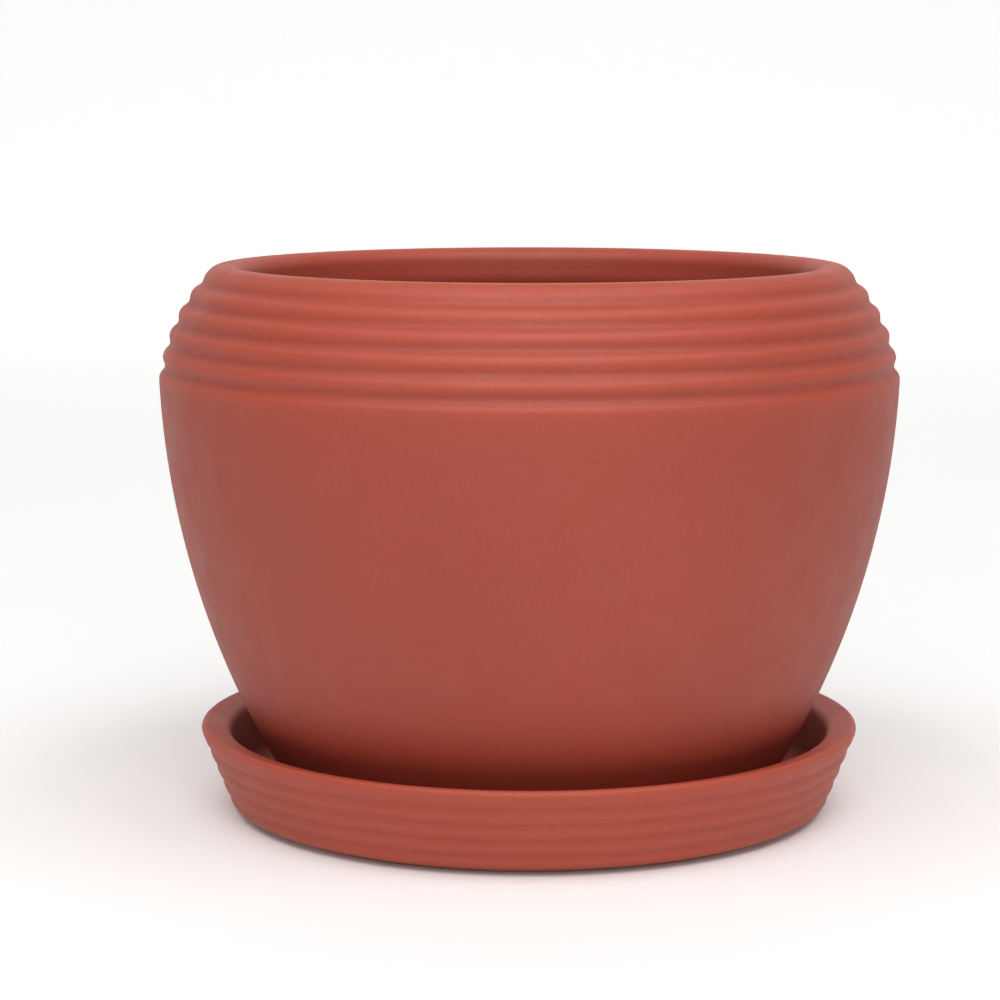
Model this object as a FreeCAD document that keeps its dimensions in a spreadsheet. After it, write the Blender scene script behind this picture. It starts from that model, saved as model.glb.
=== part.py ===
import FreeCAD, Part
import math
import os

import Sketcher

# A round plant pot with turned grooves under its rim, standing in its saucer, with a loose mesh
# disc over the drainage hole. All three pieces share one vertical axis, Z. The origin is on that
# axis, at the level of the surface that the saucer stands on. Lengths are in millimetres and
# angles in degrees.
#
# A pot section is drawn in the XZ plane, as (distance from the axis, height), and turned about Z.

SIZES = {
    # Saucer: a flared wall on a flat floor, over a narrow foot ring.
    # The lip's top falls inwards. Its rim height and radius are where its two faces would meet.
    "saucer_rim_height": 24.5,
    "saucer_rim_radius": 90.83,
    "saucer_wall_slope": 21.5,
    "saucer_lip_width": 8.6,
    "saucer_lip_fall": 13.6,
    "saucer_floor_height": 7.0,
    "saucer_underside_height": 1.4,
    "saucer_foot_outer_radius": 77.0,
    "saucer_foot_inner_radius": 70.0,
    "saucer_groove_height": 5.2,
    "saucer_groove_pitch": 4.7,
    "saucer_groove_flank": 27.0,
    "saucer_lip_outer_round": 1.3,
    "saucer_lip_inner_round": 2.6,
    "saucer_heel_round": 2.4,
    "saucer_floor_round": 8.0,
    # Pot: a belly on one large arc, and a shoulder on a smaller arc that carries the grooves.
    "belly_arc_radius": 230.0,
    "belly_arc_centre_height": 127.7,
    "belly_radius": 100.3,
    "shoulder_arc_radius": 49.9,
    "shoulder_centre_radius": 50.6,
    "shoulder_centre_height": 112.5,
    "shoulder_low_angle": 7.3,
    "shoulder_groove_pitch": 7.2,
    "shoulder_groove_flank": 37.0,
    "pot_rim_height": 148.7,
    "pot_mouth_radius": 77.4,
    "mouth_band_height": 137.5,
    "inner_shoulder_radius": 34.0,
    "pot_wall": 7.0,
    "pot_floor": 7.5,
    "pot_underside_recess": 1.5,
    "pot_foot_inner_radius": 54.0,
    "drain_hole_radius": 9.0,
    "pot_lip_outer_round": 4.5,
    "pot_lip_inner_round": 3.6,
    "mouth_band_round": 6.0,
    "pot_inside_round": 12.0,
    "pot_foot_round": 1.8,
    "edge_round": 0.8,
    # Drainage screen: a flat mesh with square holes inside a thicker ring.
    "screen_radius": 24.0,
    "screen_ring_width": 2.2,
    "screen_ring_height": 2.2,
    "screen_mesh_height": 1.2,
    "screen_hole_side": 2.6,
    "screen_hole_pitch": 4.0,
}

SAUCER_GROOVES = 4
POT_GROOVES = 5
SCREEN_HOLES_EACH_WAY = 11


class Length:
    """A length or angle as two things: its value now, and the sheet expression that gives it."""

    def __init__(self, value, text):
        self.value = value
        self.text = text

    def _join(self, other, sign, value):
        return Length(value, f"({self.text} {sign} {as_length(other).text})")

    def __add__(self, other):
        return self._join(other, "+", self.value + as_length(other).value)

    def __sub__(self, other):
        return self._join(other, "-", self.value - as_length(other).value)

    def __mul__(self, other):
        return self._join(other, "*", self.value * as_length(other).value)

    def __truediv__(self, other):
        return self._join(other, "/", self.value / as_length(other).value)


def as_length(number):
    return number if isinstance(number, Length) else Length(number, str(number))


def size(name):
    return Length(SIZES[name], f"Sizes.{name}")


def cosine(angle):
    return Length(math.cos(math.radians(angle.value)), f"cos({angle.text})")


def sine(angle):
    return Length(math.sin(math.radians(angle.value)), f"sin({angle.text})")


def tangent(angle):
    return Length(math.tan(math.radians(angle.value)), f"tan({angle.text})")


def root(number):
    return Length(math.sqrt(number.value), f"sqrt({number.text})")


def arc_reach(arc_radius, centre, offset):
    """How far out an arc is, when its centre is at one coordinate and the other coordinate is
    offset from the centre's."""
    return centre + root(arc_radius * arc_radius - offset * offset)


def make_sheet(doc):
    sheet = doc.addObject("Spreadsheet::Sheet", "Sizes")
    for row, (name, value) in enumerate(SIZES.items(), start=1):
        sheet.set(f"A{row}", name)
        sheet.set(f"B{row}", str(value))
        sheet.setAlias(f"B{row}", name)
    doc.recompute()


def origin_plane(body, role):
    return next(feature for feature in body.Origin.OriginFeatures if feature.Role == role)


def new_sketch(body, name, role):
    sketch = body.newObject("Sketcher::SketchObject", name)
    sketch.AttachmentSupport = (origin_plane(body, role), "")
    sketch.MapMode = "FlatFace"
    return sketch


def bind(sketch, constraint, length):
    index = sketch.addConstraint(constraint)
    sketch.setExpression(f"Constraints[{index}]", length.text)


def pin_point(sketch, element, end, across, up):
    """Holds one end of a sketch element at a place measured from the sketch's origin."""
    for kind, place, axis in (("DistanceX", across, -2), ("DistanceY", up, -1)):
        if place.value == 0:
            sketch.addConstraint(Sketcher.Constraint("PointOnObject", element, end, axis))
        else:
            bind(sketch, Sketcher.Constraint(kind, -1, 1, element, end, place.value), place)


def arc_between(start, finish, radius, turn):
    """The shorter arc from start to finish, drawn anticlockwise. turn is 1 for an arc that
    bends to the left on the way, and -1 for one that bends to the right."""
    chord = finish - start
    middle = (start + finish) * 0.5
    left = FreeCAD.Vector(-chord.y, chord.x, 0).normalize()
    rise = math.sqrt(radius**2 - (chord.Length / 2) ** 2)
    centre = middle + left * (rise * turn)
    first, last = (start, finish) if turn > 0 else (finish, start)
    first_angle = math.atan2(first.y - centre.y, first.x - centre.x)
    last_angle = math.atan2(last.y - centre.y, last.x - centre.x)
    circle = Part.Circle(centre, FreeCAD.Vector(0, 0, 1), radius)
    return Part.ArcOfCircle(circle, first_angle, last_angle)


def draw_outline(sketch, stations):
    """Draws a closed outline. A station is (across, up, bend): its own place, and the run from
    it to the next station, which is straight for None, or an arc of (radius, turn)."""
    points = [FreeCAD.Vector(across.value, up.value, 0) for across, up, _ in stations]
    ends = []
    for number, (across, up, bend) in enumerate(stations):
        start = points[number]
        finish = points[(number + 1) % len(points)]
        if bend is None:
            element = sketch.addGeometry(Part.LineSegment(start, finish))
            ends.append((element, 1, 2))
        else:
            radius, turn = bend
            element = sketch.addGeometry(arc_between(start, finish, radius.value, turn))
            ends.append((element, 1, 2) if turn > 0 else (element, 2, 1))
            bind(sketch, Sketcher.Constraint("Radius", element, radius.value), radius)
        pin_point(sketch, element, ends[-1][1], across, up)
    for number, (element, _, last) in enumerate(ends):
        following, first, _ = ends[(number + 1) % len(ends)]
        sketch.addConstraint(Sketcher.Constraint("Coincident", element, last, following, first))


def revolve(body, name, sketch):
    turned = body.newObject("PartDesign::Revolution", name)
    turned.Profile = sketch
    turned.ReferenceAxis = (sketch, ["V_Axis"])
    turned.Angle = 360
    sketch.Visibility = False


def ring_edges(shape, rings):
    """Names of the circular edges of a turned shape that lie at the given (radius, height)."""
    names = []
    for number, edge in enumerate(shape.Edges, start=1):
        curve = edge.Curve
        if not isinstance(curve, Part.Circle):
            continue
        for radius, height in rings:
            same_size = abs(curve.Radius - radius.value) < 0.01
            if same_size and abs(curve.Center.z - height.value) < 0.01:
                names.append(f"Edge{number}")
    if len(names) < len(rings):
        raise RuntimeError(f"only {len(names)} of {len(rings)} ring edges were found")
    return names


def round_rings(body, name, radius, rings):
    """Rounds ring-shaped edges of the body, and leaves the body's tip at the result."""
    body.Document.recompute()
    base = body.Tip
    fillet = body.newObject("PartDesign::Fillet", name)
    fillet.Base = (base, ring_edges(base.Shape, rings))
    fillet.setExpression("Radius", radius.text)


def wave(count, place, half_chord, flank, curl):
    """Stations of a groove and ridge pattern whose arcs run smoothly into each other.
    place(step) gives the place after a number of half pitches, flank is the slope where two
    arcs meet, and curl is how far the base line itself turns in half a pitch."""
    groove = half_chord / sine(flank - curl / 2)
    ridge = half_chord / sine(flank + curl / 2)
    stations = []
    for number in range(count):
        stations.append((*place(2 * number), (groove, -1)))
        if number < count - 1:
            stations.append((*place(2 * number + 1), (ridge, 1)))
    stations.append((*place(2 * count - 1), None))
    return stations


def shoulder_wave():
    """Reach of the line halfway between the pot's ridges and its grooves, from the centre of the
    shoulder arc, and half the chord of a quarter of the wave on that line."""
    quarter = size("shoulder_groove_pitch") / 4
    rise = tangent((size("shoulder_groove_flank") + quarter) / 2)
    reach = size("shoulder_arc_radius") / (cosine(quarter) + sine(quarter) * rise)
    return reach, reach * sine(quarter)


def shoulder_place(reach, angle):
    across = size("shoulder_centre_radius") + reach * cosine(angle)
    up = size("shoulder_centre_height") + reach * sine(angle)
    return across, up


def shoulder_grooves():
    """The pot's grooves, from the widest part of the pot up to just under the rim."""
    pitch = size("shoulder_groove_pitch")
    first = size("shoulder_low_angle") + pitch / 4
    reach, half_chord = shoulder_wave()

    def place(step):
        return shoulder_place(reach, first + pitch / 2 * step)

    return wave(POT_GROOVES, place, half_chord, size("shoulder_groove_flank"), pitch / 2)


def make_pot(doc):
    body = doc.addObject("PartDesign::Body", "Pot")
    body.Label = "pot"
    seat = size("saucer_floor_height")
    recess = seat + size("pot_underside_recess")
    floor = recess + size("pot_floor")
    rim = size("pot_rim_height")
    mouth = size("pot_mouth_radius")
    hole = size("drain_hole_radius")
    wall = size("pot_wall")
    foot = size("pot_foot_inner_radius")
    belly = size("belly_arc_radius")
    belly_height = size("belly_arc_centre_height")
    belly_centre = size("belly_radius") - belly
    shoulder = size("shoulder_arc_radius")
    shoulder_radius = size("shoulder_centre_radius")
    shoulder_height = size("shoulder_centre_height")
    low = size("shoulder_low_angle")

    heel = arc_reach(belly, belly_centre, belly_height - seat)
    pitch = size("shoulder_groove_pitch")
    ridge = shoulder_wave()[1] / sine(size("shoulder_groove_flank") + pitch / 4)
    grooves = shoulder_grooves()
    groove_top = grooves.pop()
    rim_edge = arc_reach(shoulder, shoulder_radius, rim - shoulder_height)

    band_height = size("mouth_band_height")
    inner_belly = belly - wall
    floor_radius = arc_reach(inner_belly, belly_centre, belly_height - floor)

    stations = [
        (hole, recess, None),
        (foot, recess, None),
        (foot, seat, None),
        (heel, seat, (belly, 1)),
        (*shoulder_place(shoulder, low), (ridge, 1)),
        *grooves,
        (groove_top[0], groove_top[1], (ridge, 1)),
        (*shoulder_place(shoulder, low + pitch * POT_GROOVES), (shoulder, 1)),
        (rim_edge, rim, None),
        (mouth, rim, None),
        (mouth, band_height, (size("inner_shoulder_radius"), -1)),
        (*shoulder_place(shoulder - wall, low), (inner_belly, -1)),
        (floor_radius, floor, None),
        (hole, floor, None),
    ]
    sketch = new_sketch(body, "PotSection", "XZ_Plane")
    draw_outline(sketch, stations)
    revolve(body, "PotWall", sketch)
    round_rings(body, "RimOuterRound", size("pot_lip_outer_round"), [(rim_edge, rim)])
    round_rings(body, "RimInnerRound", size("pot_lip_inner_round"), [(mouth, rim)])
    round_rings(body, "MouthBandRound", size("mouth_band_round"), [(mouth, band_height)])
    round_rings(body, "InsideRound", size("pot_inside_round"), [(floor_radius, floor)])
    round_rings(body, "FootRound", size("pot_foot_round"), [(heel, seat)])
    hole_rings = [(hole, floor), (hole, recess), (foot, seat)]
    round_rings(body, "EdgeRounds", size("edge_round"), hole_rings)
    return body


def make_saucer(doc):
    body = doc.addObject("PartDesign::Body", "Saucer")
    body.Label = "saucer"
    slope = size("saucer_wall_slope")
    rim = size("saucer_rim_height")
    rim_radius = size("saucer_rim_radius")
    inner_radius = rim_radius - size("saucer_lip_width")
    inner_rim = rim - size("saucer_lip_width") * tangent(size("saucer_lip_fall"))
    floor = size("saucer_floor_height")
    underside = size("saucer_underside_height")
    foot_outer = size("saucer_foot_outer_radius")
    foot_inner = size("saucer_foot_inner_radius")
    pitch = size("saucer_groove_pitch")
    flank = size("saucer_groove_flank")
    half_chord = pitch / 4
    depth = half_chord * tangent(flank / 2) * 2

    def wall_place(height, inset):
        """A place on the wall's outer face at a height, then moved into the wall by inset."""
        across = rim_radius - (rim - height) * tangent(slope) - inset * cosine(slope)
        return across, height + inset * sine(slope)

    def place(step):
        height = size("saucer_groove_height") + (pitch / 2 * step - pitch / 4) * cosine(slope)
        return wall_place(height, depth / 2)

    floor_radius = inner_radius - (inner_rim - floor) * tangent(slope)
    ridge = half_chord / sine(flank)
    low_crest = size("saucer_groove_height") - pitch / 2 * cosine(slope)
    high_crest = low_crest + pitch * SAUCER_GROOVES * cosine(slope)
    grooves = wave(SAUCER_GROOVES, place, half_chord, flank, as_length(0))
    groove_top = grooves.pop()
    axis = as_length(0)
    heel = wall_place(underside, axis)
    stations = [
        (axis, underside, None),
        (foot_inner, underside, None),
        (foot_inner, axis, None),
        (foot_outer, axis, None),
        (foot_outer, underside, None),
        (*heel, None),
        (*wall_place(low_crest, axis), (ridge, 1)),
        *grooves,
        (groove_top[0], groove_top[1], (ridge, 1)),
        (*wall_place(high_crest, axis), None),
        (rim_radius, rim, None),
        (inner_radius, inner_rim, None),
        (floor_radius, floor, None),
        (axis, floor, None),
    ]
    sketch = new_sketch(body, "SaucerSection", "XZ_Plane")
    draw_outline(sketch, stations)
    revolve(body, "SaucerWall", sketch)
    round_rings(body, "LipOuterRound", size("saucer_lip_outer_round"), [(rim_radius, rim)])
    round_rings(body, "LipInnerRound", size("saucer_lip_inner_round"), [(inner_radius, inner_rim)])
    round_rings(body, "FloorRound", size("saucer_floor_round"), [(floor_radius, floor)])
    round_rings(body, "HeelRound", size("saucer_heel_round"), [heel])
    return body


def circle_in(sketch, radius):
    circle = Part.Circle(FreeCAD.Vector(0, 0, 0), FreeCAD.Vector(0, 0, 1), radius.value)
    element = sketch.addGeometry(circle)
    sketch.addConstraint(Sketcher.Constraint("Coincident", element, 3, -1, 1))
    bind(sketch, Sketcher.Constraint("Radius", element, radius.value), radius)


def square_stations(low, high):
    return [(low, low, None), (high, low, None), (high, high, None), (low, high, None)]


def pad_up(body, name, sketch, height):
    pad = body.newObject("PartDesign::Pad", name)
    pad.Profile = sketch
    pad.setExpression("Length", height.text)
    sketch.Visibility = False


def cut_up(body, name, sketch):
    """Cuts the sketch right through the body, upwards from the sketch's plane."""
    body.Document.recompute()
    before = body.Tip.Shape.Volume
    pocket = body.newObject("PartDesign::Pocket", name)
    pocket.Profile = sketch
    pocket.Type = "ThroughAll"
    pocket.Reversed = True
    sketch.Visibility = False
    body.Document.recompute()
    if pocket.Shape.Volume >= before:
        raise RuntimeError(f"{name} cut nothing")
    return pocket


def repeat_both_ways(body, feature, sketch, pitch, count):
    """Repeats a feature in a square grid, starting from the copy that is already there."""
    grid = body.newObject("PartDesign::MultiTransform", "MeshHoles")
    grid.Originals = [feature]
    rows = []
    for name, direction in (("HolesAcross", "H_Axis"), ("HolesAlong", "V_Axis")):
        row = body.newObject("PartDesign::LinearPattern", name)
        row.Direction = (sketch, [direction])
        row.setExpression("Length", (pitch * (count - 1)).text)
        row.Occurrences = count
        rows.append(row)
    grid.Transformations = rows
    body.Tip = grid


def make_screen(doc):
    body = doc.addObject("PartDesign::Body", "DrainScreen")
    body.Label = "drain_screen"
    radius = size("screen_radius")
    pitch = size("screen_hole_pitch")
    side = size("screen_hole_side")
    half_plate = pitch * (SCREEN_HOLES_EACH_WAY + 1) / 2

    plate = new_sketch(body, "PlateOutline", "XY_Plane")
    draw_outline(plate, square_stations(half_plate * -1, half_plate))
    pad_up(body, "Plate", plate, size("screen_mesh_height"))

    hole = new_sketch(body, "FirstHole", "XY_Plane")
    first = pitch * (SCREEN_HOLES_EACH_WAY - 1) / -2
    draw_outline(hole, square_stations(first - side / 2, first + side / 2))
    first_hole = cut_up(body, "MeshHole", hole)
    repeat_both_ways(body, first_hole, hole, pitch, SCREEN_HOLES_EACH_WAY)

    trim = new_sketch(body, "TrimOutline", "XY_Plane")
    circle_in(trim, radius - size("screen_ring_width") / 2)
    circle_in(trim, half_plate * 2)
    cut_up(body, "RoundTrim", trim)

    ring = new_sketch(body, "RingOutline", "XY_Plane")
    circle_in(ring, radius)
    circle_in(ring, radius - size("screen_ring_width"))
    pad_up(body, "Ring", ring, size("screen_ring_height"))
    lift = size("saucer_floor_height") + size("pot_underside_recess") + size("pot_floor")
    body.setExpression("Placement.Base.z", lift.text)
    return body


def check_document(doc):
    for item in doc.Objects:
        if "Invalid" in item.State or "Error" in item.State:
            raise RuntimeError(f"{item.Label} failed: {item.State}")


def export(bodies):
    os.makedirs("parts", exist_ok=True)
    for body in bodies:
        shape = body.Shape
        if shape.isNull() or not shape.isValid():
            raise RuntimeError(f"{body.Label} has no valid shape")
        if len(shape.Solids) != 1:
            raise RuntimeError(f"{body.Label} is {len(shape.Solids)} solids")
        box = shape.optimalBoundingBox(True, False)
        print(f"{body.Label}: {box.XLength:.2f} x {box.YLength:.2f} x {box.ZLength:.2f} mm,"
              f" from z {box.ZMin:.2f}, {shape.Volume / 1000:.1f} cm3")
        shape.exportStep(f"parts/{body.Label}.step")


def main():
    doc = FreeCAD.newDocument("PottedSet")
    make_sheet(doc)
    bodies = [make_saucer(doc), make_pot(doc), make_screen(doc)]
    doc.recompute()
    check_document(doc)
    export(bodies)


main()
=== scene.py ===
import math

import bmesh
import bpy
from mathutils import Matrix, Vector, noise


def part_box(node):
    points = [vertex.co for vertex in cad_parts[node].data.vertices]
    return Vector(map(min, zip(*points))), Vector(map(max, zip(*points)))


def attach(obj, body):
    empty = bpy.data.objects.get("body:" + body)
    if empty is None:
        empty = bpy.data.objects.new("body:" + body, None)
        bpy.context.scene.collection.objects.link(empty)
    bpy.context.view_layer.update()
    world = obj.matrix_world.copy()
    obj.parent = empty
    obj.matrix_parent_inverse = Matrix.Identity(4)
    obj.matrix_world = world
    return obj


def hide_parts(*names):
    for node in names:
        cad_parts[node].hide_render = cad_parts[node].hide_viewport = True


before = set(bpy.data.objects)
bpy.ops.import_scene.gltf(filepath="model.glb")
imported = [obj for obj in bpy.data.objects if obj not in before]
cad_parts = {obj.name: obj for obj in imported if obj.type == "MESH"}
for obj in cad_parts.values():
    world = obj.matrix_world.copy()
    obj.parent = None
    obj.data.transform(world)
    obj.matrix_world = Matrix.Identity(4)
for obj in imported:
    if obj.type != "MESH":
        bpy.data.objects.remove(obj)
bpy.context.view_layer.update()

# A matte red ceramic plant pot with five turned grooves under its rim, standing in its saucer,
# with a plastic mesh disc over the drainage hole. An outline is a list of (distance from the
# axis, height) in millimetres. It is turned about Z to make a piece. Scene lengths are metres.

MM = 0.001


def node_size(node):
    """Largest radius, lowest height and highest height of a CAD node, in millimetres."""
    low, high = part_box(node)
    return high.x / MM, low.z / MM, high.z / MM


POT_RADIUS, SEAT, POT_RIM = node_size("pot")
SAUCER_RADIUS, GROUND, SAUCER_RIM = node_size("saucer")
SCREEN_RADIUS, SCREEN_LOW, SCREEN_HIGH = node_size("drain_screen")

# ---------------------------------------------------------------- outlines


def straight(start, end, step=2.0):
    """Points along a straight run, no further apart than step."""
    count = max(1, math.ceil(math.dist(start, end) / step))
    return [
        (start[0] + (end[0] - start[0]) * i / count, start[1] + (end[1] - start[1]) * i / count)
        for i in range(count + 1)
    ]


def arc(centre, radius, start, end, step=1.6):
    """Points along an arc, between two angles in degrees above the outward horizontal."""
    count = max(2, math.ceil(abs(math.radians(end - start)) * radius / step))
    angles = [math.radians(start + (end - start) * i / count) for i in range(count + 1)]
    return [(centre[0] + radius * math.cos(a), centre[1] + radius * math.sin(a)) for a in angles]


def bulge(start, end, radius):
    """Points along the shorter arc of a radius from start to end, bending to the right."""
    start, end = Vector(start), Vector(end)
    chord = end - start
    rise = math.sqrt(radius**2 - (chord.length / 2) ** 2)
    right = Vector((chord.y, -chord.x)).normalized()
    centre = (start + end) / 2 + right * rise
    angles = [math.degrees(math.atan2(p.y - centre.y, p.x - centre.x)) for p in (start, end)]
    return arc(centre, radius, *angles)


def cut_start(points, length):
    """The path without its first stretch of the given length."""
    points = list(points)
    while len(points) > 2 and math.dist(points[0], points[1]) <= length:
        length -= math.dist(points[0], points[1])
        points.pop(0)
    share = length / math.dist(points[0], points[1])
    first = tuple(a + (b - a) * share for a, b in zip(points[0], points[1]))
    return [first, *points[1:]]


def cut_end(points, length):
    return cut_start(points[::-1], length)[::-1]


def corner_curve(before, after, reach, count):
    """Points of a round corner from the end of one path to the start of the next, both of which
    end a distance of reach short of the corner."""
    start, end = Vector(before[-1]), Vector(after[0])
    way_in = (start - Vector(before[-2])).normalized()
    way_out = (Vector(after[1]) - end).normalized()
    turn = way_in.angle(way_out)
    radius = reach / math.tan(turn / 2)
    handle = 4 / 3 * math.tan(turn / 4) * radius
    p1, p2 = start + way_in * handle, end - way_out * handle
    curve = []
    for i in range(1, count):
        t = i / count
        point = start * (1 - t) ** 3 + p1 * 3 * t * (1 - t) ** 2 + p2 * 3 * t * t * (1 - t) + end * t**3
        curve.append(tuple(point))
    return curve


def rounded_chain(paths, closed):
    """Joins paths into one outline. Each item is (points, reach): reach is how far the corner
    between this path and the next reaches along both of them. 0 leaves the corner sharp."""
    count = len(paths)
    cut = []
    for number, (points, reach) in enumerate(paths):
        before = paths[number - 1][1] if number or closed else 0
        after = reach if number < count - 1 or closed else 0
        points = cut_start(points, before) if before else list(points)
        points = cut_end(points, after) if after else points
        cut.append(points)
    outline = []
    for number, points in enumerate(cut):
        reach = paths[number][1]
        outline += points if reach else points[:-1]
        last = number == count - 1
        if reach and (closed or not last):
            following = cut[(number + 1) % count]
            outline += corner_curve(points, following, reach, 4 + int(reach))
        elif last and not closed:
            outline.append(points[-1])
    return outline


def groove_depth(position, pitch, depths, sharpness):
    """Depth of a row of grooves at a position along it. The row starts at 0, on a ridge."""
    if not 0 < position < len(depths) * pitch:
        return 0.0
    share = (1 - math.cos(2 * math.pi * position / pitch)) / 2
    number = min(len(depths) - 1, int(position / pitch))
    return depths[number] * share**sharpness


# Shape of the pot: a belly on one large arc, and a shoulder on a smaller one. The shoulder's low
# end and the pitch of its grooves are in degrees of its arc.
BELLY_ARC = 230.0
BELLY_CENTRE = (POT_RADIUS + 0.2 - BELLY_ARC, SEAT + 120.7)
SHOULDER_ARC = 49.9
SHOULDER_CENTRE = (POT_RADIUS - 49.5, SEAT + 105.5)
SHOULDER_LOW = 7.3
SHOULDER_PITCH = 7.2
SHOULDER_DEPTHS = (1.12, 0.95, 0.95, 0.85, 0.75)
SHOULDER_SHARPNESS = 1.15
SHOULDER_STEPS = 150
POT_WALL = 7.0
POT_MOUTH = 77.4
MOUTH_BAND = 137.5
INNER_SHOULDER_ARC = 34.0
POT_FLOOR = SCREEN_LOW
POT_RECESS = SEAT + 1.5
POT_FOOT_INNER = 54.0
DRAIN_HOLE = 9.0
FOOT_TAPER = 0.6

# How far each rounded corner of the pot reaches along the runs on both sides of it.
HOLE_REACH = 0.9
FOOT_REACH = 0.5
POT_HEEL_REACH = 1.6
BELLY_REACH = 0.5
RIM_OUTER_REACH = 1.8
RIM_INNER_REACH = 3.6
BAND_REACH = 3.6
WAIST_REACH = 3.0
POT_FLOOR_REACH = 7.0

# The widest spacing of an outline's points along each kind of run.
HOLE_STEP = 1.0
FOOT_STEP = 0.5
LIP_STEP = 0.8
BELLY_STEP = 2.2
INSIDE_STEP = 3.0
FLAT_STEP = 4.0
UNDERSIDE_STEP = 6.0

# Shape of the saucer: a flared wall round a flat floor. The lip's top falls inwards, and the
# edge is where the lip's top and the wall's outer face would meet if they weren't rounded.
SAUCER_EDGE = (SAUCER_RADIUS + 0.83, SAUCER_RIM + 0.55)
SAUCER_SLOPE = 21.5
SAUCER_LIP = 8.6
SAUCER_LIP_FALL = 13.6
SAUCER_UNDERSIDE = 1.4
SAUCER_PITCH = 4.7
SAUCER_FIRST_GROOVE = 5.2
SAUCER_DEPTHS = (0.5, 0.55, 0.55, 0.6)
SAUCER_SHARPNESS = 1.2
SAUCER_STEPS = 90
SAUCER_FOOT = (70.0, 77.0)
SAUCER_FOOT_TAPERS = (0.4, 0.3)

# How far each rounded corner of the saucer reaches along the runs on both sides of it.
SAUCER_FOOT_REACH = 0.5
FOOT_TOP_REACH = 0.3
SAUCER_HEEL_REACH = 2.9
LIP_OUTER_REACH = 2.55
LIP_INNER_REACH = 1.35
SAUCER_FLOOR_REACH = 5.4

# Shape of the screen: a net of square holes inside a ring.
SCREEN_PITCH = 4.0
SCREEN_HOLE = 2.6
SCREEN_CELLS = 12
SCREEN_THICKNESS = 1.2
SCREEN_RING = 2.2
SCREEN_RING_REACH = 0.5

# How far drying and firing pull each clay piece out of round, the scales of that unevenness, and
# the radius inside which nothing moves.
POT_UNEVEN = 0.12
SAUCER_UNEVEN = 0.1
BROAD_WARP = 9.0
NARROW_WARP = 23.0
STILL_RADIUS = 30.0

# How far off an outline's surroundings are when its ridges are measured.
RIDGE_REACH = 2.4

# How many flat sides stand for each turned circle.
CLAY_SEGMENTS = 320
RING_SEGMENTS = 128


def angle_at_height(centre, radius, height):
    return math.degrees(math.asin((height - centre[1]) / radius))


def shoulder():
    """The grooved shoulder, from the pot's widest ridge up to the rim's outer edge."""
    top = angle_at_height(SHOULDER_CENTRE, SHOULDER_ARC, POT_RIM)
    points = []
    for i in range(SHOULDER_STEPS + 1):
        angle = SHOULDER_LOW + (top - SHOULDER_LOW) * i / SHOULDER_STEPS
        depth = groove_depth(angle - SHOULDER_LOW, SHOULDER_PITCH, SHOULDER_DEPTHS, SHOULDER_SHARPNESS)
        points += arc(SHOULDER_CENTRE, SHOULDER_ARC - depth, angle, angle)[:1]
    return points


def pot_outline():
    """The pot's outline, from the drainage hole out along the underside, up, and back inside."""
    outer_shoulder = shoulder()
    inner_belly = BELLY_ARC - POT_WALL
    waist = arc(SHOULDER_CENTRE, SHOULDER_ARC - POT_WALL, SHOULDER_LOW, SHOULDER_LOW)[0]
    band_end = (POT_MOUTH, MOUTH_BAND)
    belly = arc(
        BELLY_CENTRE,
        BELLY_ARC,
        angle_at_height(BELLY_CENTRE, BELLY_ARC, SEAT),
        angle_at_height(BELLY_CENTRE, BELLY_ARC, outer_shoulder[0][1]),
        BELLY_STEP,
    )
    inner_wall = arc(
        BELLY_CENTRE,
        inner_belly,
        angle_at_height(BELLY_CENTRE, inner_belly, waist[1]),
        angle_at_height(BELLY_CENTRE, inner_belly, POT_FLOOR),
        INSIDE_STEP,
    )
    belly = belly[:-1] + [outer_shoulder[0]]
    inner_wall = [waist] + inner_wall[1:]
    inner_top = bulge(band_end, waist, INNER_SHOULDER_ARC)
    rim_edge, mouth_edge = outer_shoulder[-1], (POT_MOUTH, POT_RIM)
    hole_top, hole_bottom = (DRAIN_HOLE, POT_FLOOR), (DRAIN_HOLE, POT_RECESS)
    foot_top, foot_edge = (POT_FOOT_INNER, POT_RECESS), (POT_FOOT_INNER + FOOT_TAPER, SEAT)
    return rounded_chain(
        [
            (straight(hole_top, hole_bottom, HOLE_STEP), HOLE_REACH),
            (straight(hole_bottom, foot_top, FLAT_STEP), FOOT_REACH),
            (straight(foot_top, foot_edge, FOOT_STEP), FOOT_REACH),
            (straight(foot_edge, belly[0]), POT_HEEL_REACH),
            (belly, BELLY_REACH),
            (outer_shoulder, RIM_OUTER_REACH),
            (straight(rim_edge, mouth_edge, LIP_STEP), RIM_INNER_REACH),
            (straight(mouth_edge, band_end, LIP_STEP), BAND_REACH),
            (inner_top, WAIST_REACH),
            (inner_wall, POT_FLOOR_REACH),
            (straight((inner_wall[-1][0], POT_FLOOR), hole_top, INSIDE_STEP), HOLE_REACH),
        ],
        closed=True,
    )


def saucer_wall_point(height, inset):
    """A place on the wall's outer face at a height, then moved into the wall by inset."""
    slope = math.radians(SAUCER_SLOPE)
    out = SAUCER_EDGE[0] - (SAUCER_EDGE[1] - height) * math.tan(slope)
    return out - inset * math.cos(slope), height + inset * math.sin(slope)


def saucer_wall():
    """The saucer's grooved outer face, from its heel up to the lip."""
    rise = math.cos(math.radians(SAUCER_SLOPE))
    first_ridge = SAUCER_FIRST_GROOVE - SAUCER_PITCH / 2 * rise
    points = []
    for i in range(SAUCER_STEPS + 1):
        height = SAUCER_UNDERSIDE + (SAUCER_EDGE[1] - SAUCER_UNDERSIDE) * i / SAUCER_STEPS
        position = (height - first_ridge) / rise
        depth = groove_depth(position, SAUCER_PITCH, SAUCER_DEPTHS, SAUCER_SHARPNESS)
        points.append(saucer_wall_point(height, depth))
    return points


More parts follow.
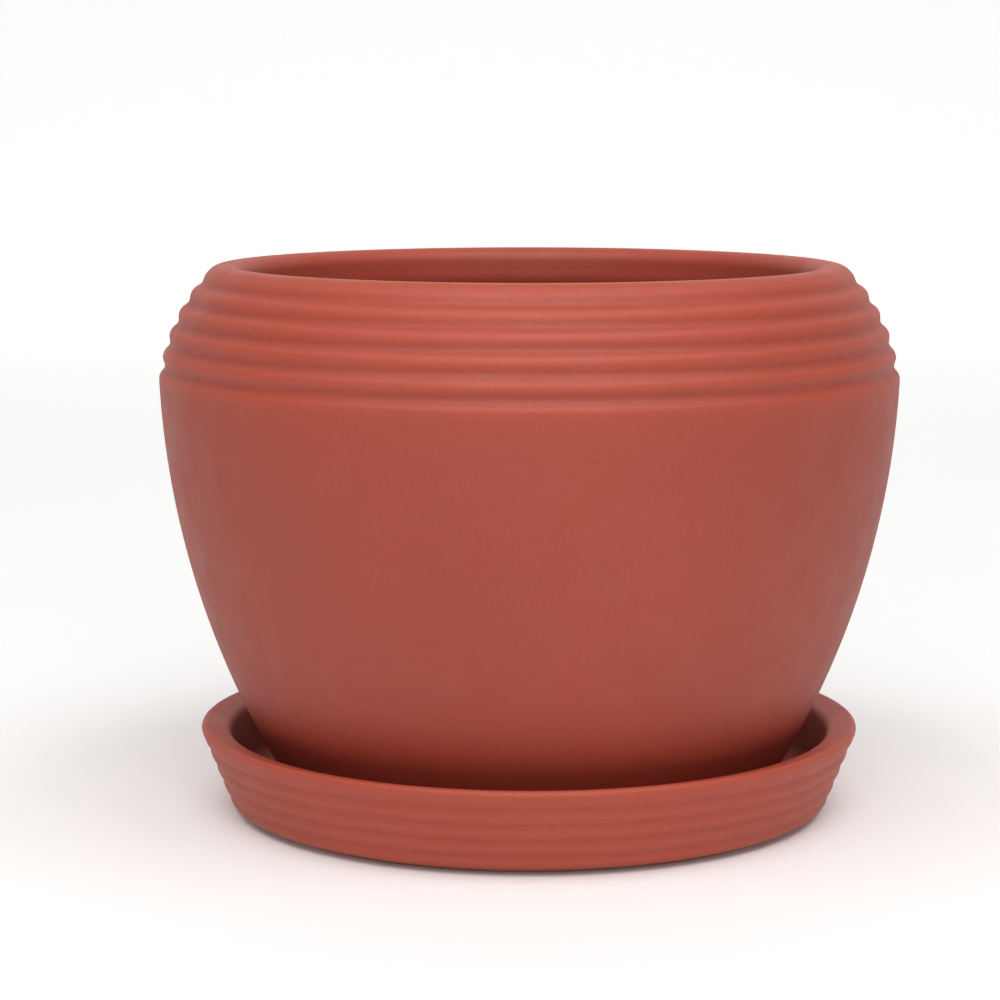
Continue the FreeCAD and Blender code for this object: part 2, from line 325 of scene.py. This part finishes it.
def saucer_outline():
    """The saucer's outline, from the axis out along the underside, up, and back along the floor."""
    wall = saucer_wall()
    fall = math.tan(math.radians(SAUCER_LIP_FALL))
    lip_inner = (SAUCER_EDGE[0] - SAUCER_LIP, SAUCER_EDGE[1] - SAUCER_LIP * fall)
    slope = math.tan(math.radians(SAUCER_SLOPE))
    floor_edge = (lip_inner[0] - (lip_inner[1] - SEAT) * slope, SEAT)
    foot_inner, foot_outer = ((radius, SAUCER_UNDERSIDE) for radius in SAUCER_FOOT)
    edge_inner = (SAUCER_FOOT[0] + SAUCER_FOOT_TAPERS[0], GROUND)
    edge_outer = (SAUCER_FOOT[1] - SAUCER_FOOT_TAPERS[1], GROUND)
    return rounded_chain(
        [
            (straight((0, SAUCER_UNDERSIDE), foot_inner, UNDERSIDE_STEP), SAUCER_FOOT_REACH),
            (straight(foot_inner, edge_inner, FOOT_STEP), SAUCER_FOOT_REACH),
            (straight(edge_inner, edge_outer), SAUCER_FOOT_REACH),
            (straight(edge_outer, foot_outer, FOOT_STEP), FOOT_TOP_REACH),
            (straight(foot_outer, wall[0]), SAUCER_HEEL_REACH),
            (wall, LIP_OUTER_REACH),
            (straight(wall[-1], lip_inner, LIP_STEP), LIP_INNER_REACH),
            (straight(lip_inner, floor_edge), SAUCER_FLOOR_REACH),
            (straight(floor_edge, (0, SEAT), FLAT_STEP), 0),
        ],
        closed=False,
    )


# ---------------------------------------------------------------- meshes


def in_scene(name, data):
    """A new object of the scene for a mesh, a light or a camera."""
    thing = bpy.data.objects.new(name, data)
    bpy.context.scene.collection.objects.link(thing)
    return thing


def finished_mesh(name, mesh):
    """The smooth-shaded data of a bmesh, which is freed."""
    data = bpy.data.meshes.new(name)
    mesh.to_mesh(data)
    mesh.free()
    data.shade_smooth()
    return data


def warp(point, amount):
    """Moves a point inwards by up to amount, unevenly, as drying and firing do. Points near the
    axis stay, so that the drainage hole and the middle of the saucer's floor are true."""
    broad = noise.noise(point * BROAD_WARP)
    narrow = noise.noise(point * NARROW_WARP + Vector((7, 3, 1)))
    uneven = broad * 0.6 + narrow * 0.4
    flat = Vector((point.x, point.y, 0))
    if flat.length < STILL_RADIUS * MM:
        return point
    return point - flat.normalized() * amount * (0.5 + 0.5 * max(-1.0, min(1.0, uneven)))


def point_along(outline, number, way, reach, closed):
    """The place at a distance of reach from one of the outline's points, onwards for a way of 1
    and back for -1."""
    place = Vector(outline[number])
    while True:
        number += way
        if not closed and not 0 <= number < len(outline):
            return place
        following = Vector(outline[number % len(outline)])
        gap = (following - place).length
        if gap >= reach:
            return place.lerp(following, reach / gap)
        reach -= gap
        place = following


def ridge_heights(outline, closed):
    """How far each point of an outline stands out from its surroundings. A groove is negative."""
    heights = []
    for number, point in enumerate(outline):
        before, after = (point_along(outline, number, way, RIDGE_REACH, closed) for way in (-1, 1))
        out = Vector((after.y - before.y, before.x - after.x)).normalized()
        heights.append((Vector(point) - (before + after) / 2).dot(out))
    return heights


def turned_mesh(name, outline, segments, amount, closed):
    """A mesh of an outline turned about Z. Points on the axis become one vertex each."""
    mesh = bmesh.new()
    rings = []
    for radius, height in outline:
        if radius < 1e-6:
            rings.append([mesh.verts.new((0, 0, height * MM))])
            continue
        ring = []
        for i in range(segments):
            angle = 2 * math.pi * i / segments
            point = Vector((radius * math.cos(angle), radius * math.sin(angle), height)) * MM
            ring.append(mesh.verts.new(warp(point, amount * MM)))
        rings.append(ring)
    pairs = list(zip(rings, rings[1:]))
    if closed:
        pairs.append((rings[-1], rings[0]))
    for lower, upper in pairs:
        for i in range(segments):
            j = (i + 1) % segments
            ways = ((lower, i), (lower, j), (upper, j), (upper, i))
            corners = [ring[k % len(ring)] for ring, k in ways]
            mesh.faces.new(list(dict.fromkeys(corners)))
    bmesh.ops.recalc_face_normals(mesh, faces=mesh.faces)
    data = finished_mesh(name, mesh)
    heights = []
    for ring, height in zip(rings, ridge_heights(outline, closed)):
        heights += [height] * len(ring)
    data.attributes.new("ridge", "FLOAT", "POINT").data.foreach_set("value", heights)
    return in_scene(name, data)


def ring_outline():
    """The outline of the screen's ring: a rectangle with round corners."""
    inner = SCREEN_RADIUS - SCREEN_RING
    corners = [
        (inner, SCREEN_HIGH),
        (inner, SCREEN_LOW),
        (SCREEN_RADIUS, SCREEN_LOW),
        (SCREEN_RADIUS, SCREEN_HIGH),
    ]
    sides = zip(corners, corners[1:] + corners[:1])
    return rounded_chain([(straight(*side, 0.6), SCREEN_RING_REACH) for side in sides], closed=True)


def screen_mesh(name):
    """A moulded net: a square grid with square holes, whose bars end inside the rounded ring."""
    bar = (SCREEN_PITCH - SCREEN_HOLE) / 2
    middles = [(i - SCREEN_CELLS / 2) * SCREEN_PITCH for i in range(SCREEN_CELLS + 1)]
    lines = sorted(middle + shift for middle in middles for shift in (-bar, bar))
    reach = SCREEN_RADIUS - SCREEN_RING / 2
    mesh = bmesh.new()
    levels = []
    for height in (SCREEN_LOW, SCREEN_LOW + SCREEN_THICKNESS):
        level = []
        for x in lines:
            shares = [min(1.0, reach / math.hypot(x, y)) for y in lines]
            row = [(x * share, y * share, height) for y, share in zip(lines, shares)]
            level.append([mesh.verts.new(Vector(place) * MM) for place in row])
        levels.append(level)
    count = len(lines) - 1

    def solid(i, j):
        if not (0 <= i < count and 0 <= j < count):
            return False
        if i % 2 == 1 and j % 2 == 1:
            return False
        nearest = min(math.hypot(lines[a], lines[b]) for a in (i, i + 1) for b in (j, j + 1))
        return nearest < SCREEN_RADIUS - SCREEN_RING

    low, high = levels
    for i in range(count):
        for j in range(count):
            if not solid(i, j):
                continue
            mesh.faces.new([low[i][j], low[i][j + 1], low[i + 1][j + 1], low[i + 1][j]])
            mesh.faces.new([high[i][j], high[i + 1][j], high[i + 1][j + 1], high[i][j + 1]])
            if not solid(i - 1, j):
                mesh.faces.new([low[i][j], high[i][j], high[i][j + 1], low[i][j + 1]])
            if not solid(i + 1, j):
                mesh.faces.new([low[i + 1][j + 1], high[i + 1][j + 1], high[i + 1][j], low[i + 1][j]])
            if not solid(i, j - 1):
                mesh.faces.new([low[i + 1][j], high[i + 1][j], high[i][j], low[i][j]])
            if not solid(i, j + 1):
                mesh.faces.new([low[i][j + 1], high[i][j + 1], high[i + 1][j + 1], low[i + 1][j + 1]])
    loose = [vertex for vertex in mesh.verts if not vertex.link_faces]
    bmesh.ops.delete(mesh, geom=loose, context="VERTS")
    piece = in_scene(name, finished_mesh(name, mesh))
    smooth = piece.modifiers.new("round_bars", "SUBSURF")
    smooth.levels = smooth.render_levels = 2
    return piece


# ---------------------------------------------------------------- materials


class Nodes:
    """Short ways to add shader nodes to a material."""

    def __init__(self, name):
        self.material = bpy.data.materials.new(name)
        self.material.use_nodes = True
        self.tree = self.material.node_tree
        self.shader = self.tree.nodes["Principled BSDF"]
        coordinates = self.tree.nodes.new("ShaderNodeTexCoord")
        self.place = coordinates.outputs["Object"]

    def link(self, source, target):
        if isinstance(source, bpy.types.NodeSocket):
            self.tree.links.new(source, target)
        else:
            target.default_value = source

    def place_part(self, axis):
        node = self.tree.nodes.new("ShaderNodeSeparateXYZ")
        self.link(self.place, node.inputs[0])
        return node.outputs[axis]

    def attribute(self, name):
        node = self.tree.nodes.new("ShaderNodeAttribute")
        node.attribute_name = name
        return node.outputs["Fac"]

    def scaled(self, scale):
        node = self.tree.nodes.new("ShaderNodeMapping")
        self.link(self.place, node.inputs["Vector"])
        node.inputs["Scale"].default_value = scale
        return node.outputs["Vector"]

    def noise(self, scale, detail, roughness=0.5, vector=None):
        node = self.tree.nodes.new("ShaderNodeTexNoise")
        self.link(vector or self.place, node.inputs["Vector"])
        node.inputs["Scale"].default_value = scale
        node.inputs["Detail"].default_value = detail
        node.inputs["Roughness"].default_value = roughness
        return node.outputs["Fac"]

    def remap(self, value, low, high, to_low, to_high):
        node = self.tree.nodes.new("ShaderNodeMapRange")
        self.link(value, node.inputs["Value"])
        sockets = ("From Min", "From Max", "To Min", "To Max")
        for socket, number in zip(sockets, (low, high, to_low, to_high)):
            node.inputs[socket].default_value = number
        return node.outputs["Result"]

    def math(self, operation, first, second):
        node = self.tree.nodes.new("ShaderNodeMath")
        node.operation = operation
        self.link(first, node.inputs[0])
        self.link(second, node.inputs[1])
        return node.outputs[0]

    def mix(self, share, first, second, mode="MIX"):
        node = self.tree.nodes.new("ShaderNodeMix")
        node.data_type = "RGBA"
        node.blend_type = mode
        self.link(share, node.inputs[0])
        self.link(first, node.inputs[6])
        self.link(second, node.inputs[7])
        return node.outputs[2]

    def bump(self, height, strength, distance, normal=None):
        node = self.tree.nodes.new("ShaderNodeBump")
        node.inputs["Strength"].default_value = strength
        node.inputs["Distance"].default_value = distance
        self.link(height, node.inputs["Height"])
        if normal:
            self.link(normal, node.inputs["Normal"])
        return node.outputs["Normal"]

    def set(self, **sockets):
        for name, value in sockets.items():
            self.link(value, self.shader.inputs[name.replace("_", " ")])


def rgb(red, green, blue):
    return (red, green, blue, 1.0)


# The red glaze in a shaded and a lit copy, each a pair of colours that a random mottle mixes between:
# the copies carry painted shade and painted highlight.
SHADED_THICK_GLAZE = (rgb(0.325, 0.0470, 0.0240), rgb(0.357, 0.0525, 0.0272))
LIT_THIN_GLAZE = (rgb(0.386, 0.0580, 0.0292), rgb(0.422, 0.0650, 0.0332))
BARE_CLAY = (rgb(0.46, 0.22, 0.14), rgb(0.58, 0.31, 0.21))
DARK_PLASTIC = (rgb(0.016, 0.017, 0.018), rgb(0.026, 0.027, 0.028))

# How high over its own lowest point each clay piece is left bare, and where its glaze colour starts and
# ends growing lighter towards the top, as painted highlight from the light above: each a height and the
# share of the lit copy of the glaze there.
POT_BARE = 0.7
POT_HIGHLIGHT_RUN = ((108.0, 0.0), (146.0, 0.8))
SAUCER_BARE = 0.9
SAUCER_HIGHLIGHT_RUN = ((0.0, 0.8), (24.0, 1.3))


def matte_glaze(name, bare_below, lit_from, lit_to):
    """The red glaze, and the bare clay of a foot ring below a height in millimetres. The glaze colour
    is mixed from a lit and a shaded copy: lighter higher up and on ridges, darker low down and in
    grooves. This is painted highlight and shade from the light above, with a little real thinning of
    the glaze on edges. The last two arguments are each a height and the share of the lit copy there."""
    nodes = Nodes(name)
    mottle = nodes.remap(nodes.noise(14.0, 4.0, 0.6), 0.3, 0.7, 0.0, 1.0)
    shaded_glaze = nodes.mix(mottle, *SHADED_THICK_GLAZE)
    lit_glaze = nodes.mix(mottle, *LIT_THIN_GLAZE)
    up = nodes.place_part("Z")
    # Painted light: the colour goes towards the lit copy higher up and on ridges, and towards the
    # shaded copy low down and in grooves.
    height_highlight = nodes.remap(up, lit_from[0] * MM, lit_to[0] * MM, lit_from[1], lit_to[1])
    ridge_highlight = nodes.remap(nodes.attribute("ridge"), -0.8, 0.8, -0.72, 0.72)
    colour = nodes.mix(nodes.remap(nodes.math("ADD", height_highlight, ridge_highlight), 0.0, 1.0, 0.0, 1.0), shaded_glaze, lit_glaze)
    speckle = nodes.remap(nodes.noise(1400.0, 2.0, 0.6), 0.35, 0.65, 0.94, 1.04)
    colour = nodes.mix(1.0, colour, speckle, "MULTIPLY")
    ragged = nodes.remap(nodes.noise(220.0, 2.0), 0.3, 0.7, -0.2 * MM, 0.2 * MM)
    height = nodes.math("ADD", up, ragged)
    bare = nodes.remap(height, bare_below * MM, (bare_below + 0.15) * MM, 1.0, 0.0)
    clay = nodes.mix(nodes.noise(500.0, 3.0), *BARE_CLAY)
    colour = nodes.mix(bare, colour, clay)
    turning = nodes.noise(60.0, 3.0, 0.6, nodes.scaled((0.25, 0.25, 14.0)))
    grain = nodes.noise(2600.0, 3.0, 0.6)
    nodes.set(
        Base_Color=colour,
        Roughness=nodes.remap(nodes.noise(90.0, 3.0), 0.3, 0.7, 0.52, 0.62),
        IOR=1.5,
        Normal=nodes.bump(grain, 0.08, 0.0004, nodes.bump(turning, 0.10, 0.0004)),
    )
    return nodes.material


def screen_plastic():
    nodes = Nodes("screen_plastic")
    nodes.set(
        Base_Color=nodes.mix(nodes.noise(300.0, 3.0), *DARK_PLASTIC),
        Roughness=nodes.remap(nodes.noise(900.0, 2.0), 0.3, 0.7, 0.42, 0.58),
        Normal=nodes.bump(nodes.noise(4000.0, 2.0), 0.12, 0.0002),
    )
    return nodes.material


# ---------------------------------------------------------------- the set


def stand_for(piece, node, material):
    piece.data.materials.append(material)
    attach(piece, node)
    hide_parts(node)


def build_set():
    plastic = screen_plastic()
    pot = turned_mesh("pot_body", pot_outline(), CLAY_SEGMENTS, POT_UNEVEN, closed=True)
    glaze = matte_glaze("pot_glaze", SEAT + POT_BARE, *POT_HIGHLIGHT_RUN)
    stand_for(pot, "pot", glaze)
    saucer = turned_mesh("saucer_body", saucer_outline(), CLAY_SEGMENTS, SAUCER_UNEVEN, closed=False)
    glaze = matte_glaze("saucer_glaze", GROUND + SAUCER_BARE, *SAUCER_HIGHLIGHT_RUN)
    stand_for(saucer, "saucer", glaze)
    screen = screen_mesh("drain_screen_net")
    stand_for(screen, "drain_screen", plastic)
    ring = turned_mesh("drain_screen_ring", ring_outline(), RING_SEGMENTS, 0.0, closed=True)
    ring.data.materials.append(plastic)
    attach(ring, "drain_screen")


def build_floor():
    """A pale floor that curves up into a wall far behind the pot, as paper does in a studio."""
    front, behind, bend, top, half_width = -3.0, 1.6, 1.2, 4.0, 4.5
    line = straight((front, 0), (behind, 0), 0.4) + arc((behind, bend), bend, -90, 0, 0.05)
    line += straight((behind + bend, bend), (behind + bend, top), 0.4)
    corners = [(side * half_width, y, z) for y, z in line for side in (-1, 1)]
    faces = [(2 * i, 2 * i + 1, 2 * i + 3, 2 * i + 2) for i in range(len(line) - 1)]
    data = bpy.data.meshes.new("floor")
    data.from_pydata(corners, [], faces)
    data.shade_smooth()
    floor = in_scene("floor", data)
    nodes = Nodes("floor")
    # The floor glows, faintly near the pot and more towards the wall behind: painted light that makes
    # the wall look lit.
    backdrop_glow = nodes.remap(nodes.place_part("Y"), -0.1, 1.7, 0.03, 0.5)
    nodes.set(
        Base_Color=rgb(0.93, 0.925, 0.915),
        Roughness=0.9,
        Emission_Color=rgb(1.0, 1.0, 1.0),
        Emission_Strength=backdrop_glow,
    )
    data.materials.append(nodes.material)


# Each soft light: its angle from the camera's side, positive to the right, and its angle over the
# floor, both in degrees, its size in metres and its power in watts.
LIGHTS = (
    ("front_soft", 0, 32, (1.2, 0.8), 8.5),
    ("front_high", 0, 55, (1.2, 0.8), 8.0),
    ("left_high", -60, 60, (0.9, 0.9), 6.0),
    ("right_high", 60, 60, (0.9, 0.9), 7.5),
)
LIGHT_DISTANCE = 1.6
LIGHT_TARGET = Vector((0, 0, 0.09))


def area_light(name, around, above, size, power):
    """A soft light aimed at the pot, from one row of LIGHTS."""
    data = bpy.data.lights.new(name, "AREA")
    data.shape = "RECTANGLE"
    data.size, data.size_y = size
    data.energy = power
    side, up = math.radians(around), math.radians(above)
    way = Vector((math.sin(side) * math.cos(up), -math.cos(side) * math.cos(up), math.sin(up)))
    light = in_scene(name, data)
    light.location = LIGHT_TARGET + way * LIGHT_DISTANCE
    light.rotation_euler = way.to_track_quat("Z", "Y").to_euler()


def build_lights():
    world = bpy.data.worlds.new("studio")
    bpy.context.scene.world = world
    world.use_nodes = True
    background = world.node_tree.nodes["Background"]
    background.inputs["Color"].default_value = rgb(1.0, 1.0, 1.0)
    background.inputs["Strength"].default_value = 0.20
    for name, around, above, size, power in LIGHTS:
        area_light(name, around, above, size, power)


# The camera looks along +Y, and down by its pitch in degrees.
CAMERA_PLACE = (-0.0079, -0.7947, 0.1953)
CAMERA_PITCH = 7.97
CAMERA_LENS = 105.5


def build_camera():
    data = bpy.data.cameras.new("camera")
    data.lens = CAMERA_LENS
    data.sensor_width = 36.0
    data.clip_start = 0.01
    camera = in_scene("camera", data)
    camera.location = CAMERA_PLACE
    camera.rotation_euler = (math.radians(90 - CAMERA_PITCH), 0.0, 0.0)
    bpy.context.scene.camera = camera


build_set()
build_floor()
build_lights()
build_camera()
bpy.context.scene.view_settings.view_transform = "Standard"
